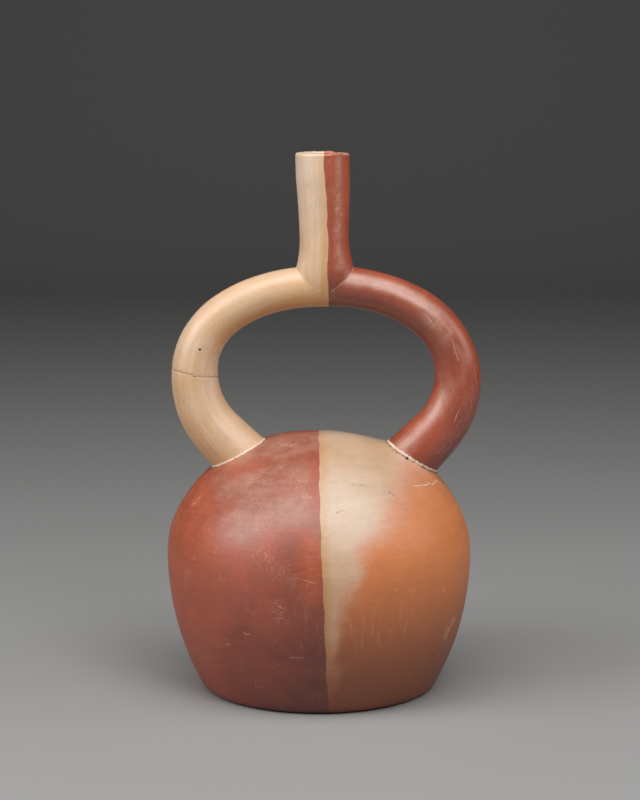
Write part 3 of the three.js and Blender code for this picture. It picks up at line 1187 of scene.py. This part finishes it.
def keep_measures(mesh, form, points, features):
    """Stores the distances in millimetres and the shares that the slip needs at each point."""
    for name in ("handle", "joint", "crease", "left_break", "right_break", "lip"):
        keep_values(mesh, name, getattr(features, name) / MM)
    keep_values(mesh, "pit", features.pit)
    keep_values(mesh, "inside", 1.0 - features.outside)
    firing = Firing(form, points, features)
    for name in firing.names:
        keep_values(mesh, name, getattr(firing, name)())
    layer = mesh.attributes.new("lay", "FLOAT_VECTOR", "POINT")
    layer.data.foreach_set("vector", stroke_places(form, points, features).astype(np.float32).ravel())


def keep_values(mesh, name, values):
    """Stores one number for each point of the mesh."""
    layer = mesh.attributes.new(name, "FLOAT", "POINT")
    layer.data.foreach_set("value", values.astype(np.float32))


def halves_group():
    """Shader group: which half has red slip, with the slip's slightly wavy edge."""
    inputs = (("Position", "Vector"), ("Handle", "Float"))
    tree, sheet, source, result = group_tree(
        "Slip Halves", "ShaderNodeTree", inputs, (("Red", "Float"), ("Edge", "Float"))
    )
    x, _, z = sheet.split(source["Position"])
    body_edge = sheet.ramp(z, -10.0, 125.0, 4.0, 0.0)
    spout_edge = sheet.ramp(z, 196.0, 240.0, 4.1, 2.3)
    edge = sheet.blend(source["Handle"], body_edge, spout_edge)
    slow = sheet.noise(source["Position"], 0.07, 1.0)
    quick = sheet.noise(source["Position"], 0.5, 2.0)
    sway, waver = 2.4, 0.5
    middle = sheet.math("SUBTRACT", edge, (sway + waver) / 2)
    wander = sheet.weigh(middle, (slow, sway), (quick, waver))
    left = sheet.ramp(sheet.math("SUBTRACT", wander, x), -0.14, 0.14)
    sheet.put(result["Red"], sheet.apart(left, source["Handle"]))
    sheet.put(result["Edge"], sheet.ramp(sheet.apart(wander, x), 5.5, 0.5))
    return tree


def strokes_group():
    """Shader group: long polishing strokes, fine wisps between them, and pale lines."""
    tree, sheet, source, result = group_tree(
        "Polishing Strokes",
        "ShaderNodeTree",
        (("Lay", "Vector"),),
        (("Tone", "Float"), ("Wisps", "Float"), ("Lines", "Float")),
    )
    wisps = sheet.noise(source["Lay"], 2.3, 3.0, 0.62, 0.4)
    sheet.put(result["Tone"], sheet.noise(source["Lay"], 0.6, 3.0, 0.6))
    sheet.put(result["Wisps"], wisps)
    sheet.put(result["Lines"], sheet.ramp(wisps, 0.64, 0.76))
    return tree


def grain_group():
    """Shader group: the clay's fine grain, with small pits."""
    inputs = (("Position", "Vector"), ("Size", "Float"))
    tree, sheet, source, result = group_tree(
        "Clay Grain", "ShaderNodeTree", inputs, (("Grain", "Float"), ("Pits", "Float"))
    )
    at = sheet.shrunk(source["Position"], source["Size"])
    cells = sheet.add("ShaderNodeTexVoronoi", sheet.scaled(at, 0.2), feature="F1")
    rare = sheet.ramp(sheet.noise(sheet.scaled(at, 0.06), 1.0, 1.0), 0.54, 0.66)
    dots = sheet.ramp(cells.outputs["Distance"], 0.1, 0.05)
    sheet.put(result["Grain"], sheet.noise(at, 1.0, 4.0, 0.6))
    sheet.put(result["Pits"], sheet.times(dots, rare))
    return tree


def flecks_group():
    """Shader group: small worn flecks, thick where the amount is high."""
    inputs = (("Position", "Vector"), ("Size", "Float"), ("Amount", "Float"))
    tree, sheet, source, result = group_tree(
        "Worn Flecks", "ShaderNodeTree", inputs, (("Flecks", "Float"),)
    )
    at = sheet.shrunk(source["Position"], source["Size"])
    shape = sheet.noise(at, 1.0, 2.0, 0.7, 1.2)
    limit = sheet.blend(source["Amount"], 0.76, 0.56)
    sheet.put(result["Flecks"], sheet.ramp(sheet.math("SUBTRACT", shape, limit), 0.0, 0.08))
    return tree


def hairlines_group():
    """Shader group: rare curved hairline scratches."""
    inputs = (("Position", "Vector"), ("Size", "Float"))
    tree, sheet, source, result = group_tree(
        "Hairline Scratches", "ShaderNodeTree", inputs, (("Lines", "Float"),)
    )
    at = sheet.shrunk(source["Position"], source["Size"])
    line = sheet.ramp(sheet.apart(sheet.noise(at, 1.0, 1.0), 0.5), 0.022, 0.006)
    rare = sheet.ramp(sheet.noise(sheet.scaled(at, 1.3), 1.0, 1.0), 0.54, 0.66)
    sheet.put(result["Lines"], sheet.times(line, rare))
    return tree


def mark_group():
    """Shader group: a soft stroke between two places."""
    inputs = [(name, "Vector") for name in ("Position", "Start", "End")]
    inputs += [("Width", "Float"), ("Core", "Float")]
    tree, sheet, source, result = group_tree(
        "Surface Mark", "ShaderNodeTree", inputs, (("Mask", "Float"),)
    )
    reach = sheet.vector("SUBTRACT", source["End"], source["Start"])
    offset = sheet.vector("SUBTRACT", source["Position"], source["Start"])
    square = sheet.vector("DOT_PRODUCT", reach, reach)
    share = sheet.math("DIVIDE", sheet.vector("DOT_PRODUCT", offset, reach), square, clamp=True)
    away = sheet.vector("SUBTRACT", offset, sheet.scaled(reach, share))
    ratio = sheet.math("DIVIDE", sheet.vector("LENGTH", away), source["Width"])
    sheet.put(result["Mask"], sheet.ramp(ratio, 1.0, source["Core"]))
    return tree


class SlipSheet(NodeSheet):
    """The slip material's nodes, with the places and masks that its colours share.

    Sizes are in millimetres. Shaken places are moved by a noise, so that marks get rough edges.
    """

    grain_size = 0.9
    fleck_size = 0.75
    hairline_size = 7.0
    scribble_sizes = (4.0, 2.4)
    shake_scale = 0.9
    shake_reach = 0.9

    def __init__(self, tree, form):
        super().__init__(tree)
        self.form = form
        coordinate = self.add("ShaderNodeTexCoord").outputs["Object"]
        self.position = self.scaled(coordinate, 1 / MM)
        self.x, _, self.z = self.split(self.position)
        shake = self.add("ShaderNodeTexNoise", self.position)
        shake.inputs["Scale"].default_value = self.shake_scale
        shift = self.vector("SUBTRACT", shake.outputs["Color"], (0.5, 0.5, 0.5))
        self.shaken = self.vector("ADD", self.position, self.scaled(shift, self.shake_reach))
        self.handle = self.ramp(self.attribute("handle"), -0.12, 0.12)
        self.red, self.edge = self.group(halves_group(), self.position, self.handle)
        flattened = self.vector("MULTIPLY", self.position, (0.05, 0.05, 0.09))
        self.drift = self.noise(flattened, 1.0, 3.0, 0.6)
        self.mottle = self.noise(self.position, 0.11, 6.0, 0.72)
        self.fine = self.noise(self.position, 0.9, 3.0, 0.6)
        lay = self.attribute("lay", "Vector")
        self.tone, self.wisps, self.lines = self.group(strokes_group(), lay)
        self.grain, self.pits = self.group(grain_group(), self.position, self.grain_size)
        self.mark_tree = mark_group()

    def marks(self, paths, core=0.3):
        """Mask of marks, each a path of places and a half width, full in the core's share of it."""
        total = 0.0
        for path, width in paths:
            places = self.form.settle(np.array(path) * MM)
            places += waves(self.form, places)[:, None] * self.form.normals(places)
            for start, end in zip(places / MM, places[1:] / MM):
                ends = (tuple(start), tuple(end))
                mask = self.group(self.mark_tree, self.shaken, *ends, width, core)[0]
                total = self.most(mask, total)
        return total


def red_slip(sheet, colours):
    """Red slip, deeper in clouds, with painted shade, painted sheen with grey bloom, and orange patches.
    """
    # The darker red holds the firing's clouds and the painted shade on the arms
    deep = sheet.weigh(-0.35, (sheet.attribute("deep"), 1.0), (sheet.mottle, 0.7), clamp=True)
    red = sheet.tint(deep, colours.red, colours.deep_red)
    red = sheet.tint(sheet.attribute("warm"), red, colours.ember)
    # The bloom share is painted sheen mixed with a grey bloom, broken up by the mottling
    broken = sheet.ramp(sheet.mottle, 0.3, 0.62, 0.2, 0.6)
    bloom = sheet.times(sheet.attribute("bloom"), broken)
    return sheet.tint(bloom, red, colours.bloom)


def cream_slip(sheet, colours):
    """Cream slip, thin and with painted shade in places, fired to orange on the right of the body and
    browned low down.
    """
    fired = sheet.weigh(-0.1, (sheet.attribute("fired"), 1.0), (sheet.mottle, 0.2))
    streaks = sheet.times(sheet.math("SUBTRACT", sheet.tone, 0.5), sheet.handle)
    # The thin share also holds the painted shade on the arms
    parts = ((sheet.attribute("thin"), 1.0), (sheet.drift, 0.6), (streaks, 1.2), (sheet.edge, 0.36))
    thin = sheet.weigh(-0.3, *parts, clamp=True)
    cream = sheet.tint(thin, colours.cream, colours.warm_cream)
    blush = sheet.times(sheet.ramp(fired, 0.0, 0.5), sheet.ramp(sheet.z, 64.0, 88.0, 0.3, 1.0))
    cream = sheet.tint(blush, cream, colours.blush)
    cream = sheet.tint(sheet.ramp(fired, 0.2, 1.0), cream, colours.orange)
    low = sheet.times(sheet.ramp(sheet.z, 70.0, 12.0), sheet.ramp(fired, 0.2, 0.9, 0.12, 0.82))
    return sheet.tint(low, cream, colours.brown)


def slip_tone_and_painted_light(sheet):
    """Painted shade high on the body, painted light on the handle, and burnish, grain and mottling,
    stronger on the red.
    """
    # Painted shade darkens the body upwards from 60 mm to 96 mm over the base, and painted light
    # brightens the arms and spout
    plain = sheet.blend(sheet.handle, sheet.ramp(sheet.z, 60.0, 96.0, 1.03, 0.84), 1.045)
    parts = ((sheet.grain, 0.6), (sheet.tone, 0.2), (sheet.wisps, 0.46), (sheet.mottle, 0.54))
    even = sum(share for _, share in parts) / 2
    uneven = sheet.weigh(-even, *parts)
    return sheet.weigh(plain, (uneven, sheet.ramp(sheet.red, 0.0, 1.0, 0.45, 1.0)))


def rubbed_places(sheet):
    """Mask of the small pale flecks, scratches, nicks, smudges and scrapes."""
    patches = sheet.attribute("salt")
    salted = sheet.weigh(0.1, (sheet.red, 0.3), (patches, 0.8))
    flecks = sheet.group(flecks_group(), sheet.position, sheet.fleck_size, salted)[0]
    scratch_tree = hairlines_group()
    hairlines = sheet.group(scratch_tree, sheet.position, sheet.hairline_size)[0]
    scratches = [sheet.group(scratch_tree, sheet.shaken, size)[0] for size in sheet.scribble_sizes]
    broken = sheet.ramp(sheet.noise(sheet.position, 1.3, 2.0, 0.6), 0.3, 0.5)
    scribbles = sheet.times(sheet.most(*scratches), patches, broken)
    nicks = sheet.times(sheet.marks(PALE_NICKS), broken)
    smudges = sheet.times(sheet.marks(PALE_SMUDGES, 0.0), sheet.ramp(sheet.grain, 0.42, 0.6))
    upright = sheet.vector("MULTIPLY", sheet.position, (0.5, 0.5, 0.07))
    scrapes = sheet.ramp(sheet.noise(upright, 1.0, 3.0, 0.6), 0.5, 0.72)
    scrapes = sheet.times(scrapes, sheet.attribute("scraped"))
    shares = (
        (flecks, 0.8),
        (hairlines, 0.2),
        (scribbles, 1.0),
        (nicks, 1.0),
        (smudges, 0.9),
        (scrapes, 0.4),
        (sheet.lines, 0.14),
    )
    return sheet.most(*(sheet.times(part, share) for part, share in shares))


def worn_places(sheet):
    """Mask of the bare clay on the worn lip and in the crease under the spout."""
    lip = sheet.weigh(sheet.attribute("lip"), (sheet.fine, 2.6))
    crease = sheet.weigh(sheet.attribute("crease"), (sheet.fine, 0.7))
    return sheet.most(sheet.ramp(lip, 1.5, 1.1), sheet.ramp(crease, 0.75, 0.35, 0.0, 0.5))


def filled_joints(sheet):
    """Masks of the filler at the arms' feet and in the crack, and of the gap at the right foot."""
    side = sheet.attribute("handle")
    to_right = (sheet.x, -5.0, 5.0)
    middle = sheet.ramp(*to_right, 0.0, sheet.form.relief.filler_width / MM)
    half = sheet.ramp(*to_right, 0.85, 1.0)
    away = sheet.weigh(sheet.apart(side, middle), (sheet.fine, 1.2), (half, -1.0))
    beside = sheet.ramp(sheet.attribute("joint"), 4.0, 3.0)
    filler = sheet.times(sheet.ramp(away, 0.25, -0.15), beside)
    crack = sheet.times(sheet.marks(FILLED_CRACKS), 0.8)
    gap = sheet.ramp(sheet.apart(side, -0.25), 0.4, 0.15)
    gap = sheet.times(gap, beside, sheet.ramp(sheet.x, 0.0, 5.0))
    return sheet.most(filler, crack), gap


def dirty_places(sheet, gap):
    """Mask of the dirt in the breaks, the pits and the gap, and of the dark specks."""
    left = sheet.ramp(sheet.apart(sheet.attribute("left_break"), 0.0), 0.3, 0.06, 0.0, 0.65)
    right = sheet.ramp(sheet.apart(sheet.attribute("right_break"), 0.0), 0.22, 0.06, 0.0, 0.5)
    breaks = sheet.times(sheet.most(left, right), sheet.ramp(sheet.fine, 0.25, 0.5))
    pits = sheet.ramp(sheet.attribute("pit"), 1.0, 0.6)
    pores = sheet.times(sheet.pits, sheet.blend(sheet.handle, 0.4, 0.1))
    gap = sheet.times(gap, sheet.ramp(sheet.fine, 0.42, 0.56, 0.0, 0.7))
    specks = sheet.ramp(sheet.fine, 0.42, 0.58, 0.05, 0.5)
    specks = sheet.times(specks, sheet.marks(DARK_SPECKS, 0.0))
    return sheet.most(breaks, pits, pores, gap, specks)


def slip_material(colours, form):
    """Burnished slip in red and cream halves, fired unevenly, repaired and worn."""
    material = bpy.data.materials.new("burnished slip")
    material.use_nodes = True
    sheet = SlipSheet(material.node_tree, form)
    surface = sheet.tint(sheet.red, cream_slip(sheet, colours), red_slip(sheet, colours))
    # The tone multiplies in painted shade high on the body and painted light on the arms and spout
    tone = slip_tone_and_painted_light(sheet)
    surface = sheet.tint(1.0, surface, sheet.join(tone, tone, tone), "MULTIPLY")
    # Painted shade: the wall darkens more towards the base
    surface = sheet.tint(sheet.attribute("grime"), surface, colours.grime, "MULTIPLY")
    rubbed = rubbed_places(sheet)
    surface = sheet.tint(rubbed, surface, sheet.tint(1.0, surface, RUBBED_LIGHT, "ADD"))
    worn = worn_places(sheet)
    surface = sheet.tint(sheet.times(worn, 0.8), surface, colours.clay)
    filler, gap = filled_joints(sheet)
    mixed = sheet.tint(sheet.ramp(sheet.fine, 0.45, 0.8), colours.filler, colours.clay)
    surface = sheet.tint(filler, surface, mixed)
    dirt = dirty_places(sheet, gap)
    surface = sheet.tint(dirt, surface, colours.soot)
    foot = sheet.ramp(sheet.z, 1.4, 0.2, 0.0, 0.65)
    surface = sheet.tint(foot, surface, colours.base)

    dull = sheet.most(filler, dirt, worn, foot)
    burnish = sheet.blend(sheet.handle, 0.33, sheet.ramp(sheet.red, 0.0, 1.0, 0.27, 0.19))
    parts = ((sheet.tone, 0.1), (sheet.mottle, 0.22), (dull, 0.4), (rubbed, 0.15))
    rough = sheet.weigh(burnish, *parts, clamp=True)
    height = sheet.weigh(0.0, (sheet.grain, 0.1), (sheet.tone, 0.35), (sheet.lines, -0.2))
    finish_clay(sheet, material, surface, rough, height, 0.3)
    material.node_tree.nodes["Principled BSDF"].inputs["Specular IOR Level"].default_value = 1.0
    return material


def finish_clay(sheet, material, surface, rough, height, strength):
    """Links colour, roughness and height to a clay material's shader."""
    shader = material.node_tree.nodes["Principled BSDF"]
    bump = sheet.add("ShaderNodeBump")
    bump.inputs["Strength"].default_value = strength
    bump.inputs["Distance"].default_value = BUMP_DEPTH
    sheet.put(bump.inputs["Height"], height)
    sheet.put(shader.inputs["Base Color"], surface)
    sheet.put(shader.inputs["Roughness"], rough)
    sheet.put(shader.inputs["Normal"], bump.outputs[0])


def clay_material(colours):
    """Bare fired clay of the inside."""
    material = bpy.data.materials.new("bare clay")
    material.use_nodes = True
    sheet = NodeSheet(material.node_tree)
    coordinate = sheet.add("ShaderNodeTexCoord").outputs["Object"]
    position = sheet.scaled(coordinate, 1 / MM)
    grain, pits = sheet.group(bpy.data.node_groups["Clay Grain"], position, 1.6)
    cloud = sheet.noise(position, 0.05, 3.0)
    surface = sheet.tint(cloud, colours.clay, colours.warm_cream)
    surface = sheet.tint(sheet.times(grain, 0.35), surface, colours.deep_red)
    surface = sheet.tint(pits, surface, colours.soot)
    rough = sheet.weigh(0.72, (grain, 0.2))
    finish_clay(sheet, material, surface, rough, sheet.weigh(grain, (pits, -1.0)), 0.5)
    return material


def floor_material(colours):
    """Plain pale floor with a faint unevenness."""
    material = bpy.data.materials.new("studio floor")
    material.use_nodes = True
    sheet = NodeSheet(material.node_tree)
    shader = material.node_tree.nodes["Principled BSDF"]
    shader.inputs["Base Color"].default_value = (*colours.floor, 1.0)
    coordinate = sheet.add("ShaderNodeTexCoord").outputs["Object"]
    rough = sheet.weigh(0.75, (sheet.noise(coordinate, 9.0), 0.1))
    sheet.put(shader.inputs["Roughness"], rough)
    return material


class BOTTLE_OT_vessel(bpy.types.Operator):
    """Build the slipped clay vessel"""

    bl_idname = "bottle.vessel"
    bl_label = "Vessel"

    def execute(self, context):
        colours = context.scene.bottle_colours
        form = VesselForm(context.scene)
        slip = slip_material(colours, form)
        mesh = rough_vessel(form, slip)
        set_points(mesh, form.settle(mesh_points(mesh)))
        refine(mesh, form)
        work_relief(mesh, form)
        mesh.name = "vessel"
        mesh.materials.clear()
        mesh.materials.append(slip)
        mesh.materials.append(clay_material(colours))
        inside = np.empty(len(mesh.vertices))
        mesh.attributes["inside"].data.foreach_get("value", inside)
        for face in mesh.polygons:
            face.material_index = int(min(inside[v] for v in face.vertices) > 0.5)
        mesh.shade_smooth()
        piece = bpy.data.objects.new("slipped_vessel", mesh)
        context.scene.collection.objects.link(piece)
        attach(piece, "root")
        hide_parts("vessel")
        return {"FINISHED"}


def sweep_floor(colours):
    """A pale floor that bends up into a plain back."""
    reach, back, bend, rise = 2.5, 1.6, 0.8, 2.6
    outline = np.vstack(
        (
            [[-reach, 0.0], [back, 0.0]],
            arc(back, bend, bend, -math.pi / 2, 0, steps=24)[1:],
            [[back + bend, rise]],
        )
    )
    points, faces = [], []
    for y, z in outline:
        points += [(-reach, y, z), (reach, y, z)]
    for i in range(len(outline) - 1):
        faces.append((2 * i, 2 * i + 1, 2 * i + 3, 2 * i + 2))
    mesh = bpy.data.meshes.new("floor")
    mesh.from_pydata(points, [], faces)
    mesh.materials.append(floor_material(colours))
    mesh.shade_smooth()
    return bpy.data.objects.new("floor", mesh)


def soft_light(name, power, size, at):
    """A large soft lamp that faces the vessel."""
    data = bpy.data.lights.new(name, "AREA")
    data.shape = "RECTANGLE"
    data.size, data.size_y = size
    data.energy = power
    lamp = bpy.data.objects.new(name, data)
    lamp.location = at
    lamp.rotation_euler = (Vector(LAMP_TARGET) - Vector(at)).to_track_quat("-Z", "Y").to_euler()
    return lamp


class BOTTLE_OT_studio(bpy.types.Operator):
    """Build the plain floor, the soft lights and the camera"""

    bl_idname = "bottle.studio"
    bl_label = "Studio"

    def execute(self, context):
        scene = context.scene
        studio = scene.bottle_studio
        floor = sweep_floor(scene.bottle_colours)
        lamps = [soft_light(name, getattr(studio, power), size, at) for name, power, size, at in LAMPS]
        data = bpy.data.cameras.new("camera")
        data.sensor_width = studio.sensor_width
        data.lens = studio.focal_length
        camera = bpy.data.objects.new("camera", data)
        camera.location = (studio.camera_x, -studio.camera_distance, studio.camera_height)
        camera.rotation_euler = (math.pi / 2 - studio.camera_tilt, 0.0, 0.0)
        for item in (floor, camera, *lamps):
            scene.collection.objects.link(item)
        scene.camera = camera
        world = bpy.data.worlds.new("studio air")
        world.use_nodes = True
        air = world.node_tree.nodes["Background"]
        air.inputs["Color"].default_value = AIR_COLOUR
        air.inputs["Strength"].default_value = studio.ambient
        scene.world = world
        scene.view_settings.view_transform = "Standard"
        return {"FINISHED"}


class BOTTLE_PT_panel(bpy.types.Panel):
    """Builds the bottle and its studio"""

    bl_idname = "BOTTLE_PT_panel"
    bl_label = "Stirrup Spout Bottle"
    bl_space_type = "VIEW_3D"
    bl_region_type = "UI"
    bl_category = "Bottle"

    def draw(self, context):
        layout = self.layout
        for operator in (BOTTLE_OT_vessel, BOTTLE_OT_studio):
            layout.operator(operator.bl_idname)
        for name in SETTINGS:
            group = getattr(context.scene, name)
            box = layout.box()
            for key in group.__annotations__:
                box.prop(group, key)


SETTINGS = {
    "bottle_body": BodySizes,
    "bottle_stirrup": StirrupSizes,
    "bottle_spout": SpoutSizes,
    "bottle_relief": ReliefSizes,
    "bottle_colours": SlipColours,
    "bottle_studio": StudioSizes,
}
CLASSES = (*SETTINGS.values(), BOTTLE_OT_vessel, BOTTLE_OT_studio, BOTTLE_PT_panel)


def register():
    """Adds the classes and the settings."""
    for item in CLASSES:
        bpy.utils.register_class(item)
    for name, group in SETTINGS.items():
        setattr(bpy.types.Scene, name, PointerProperty(type=group))


def unregister():
    """Removes the settings and the classes."""
    for name in SETTINGS:
        delattr(bpy.types.Scene, name)
    for item in reversed(CLASSES):
        bpy.utils.unregister_class(item)


def main():
    """Builds the vessel and the studio."""
    register()
    bpy.ops.bottle.vessel()
    bpy.ops.bottle.studio()


if __name__ == "__main__":
    main()
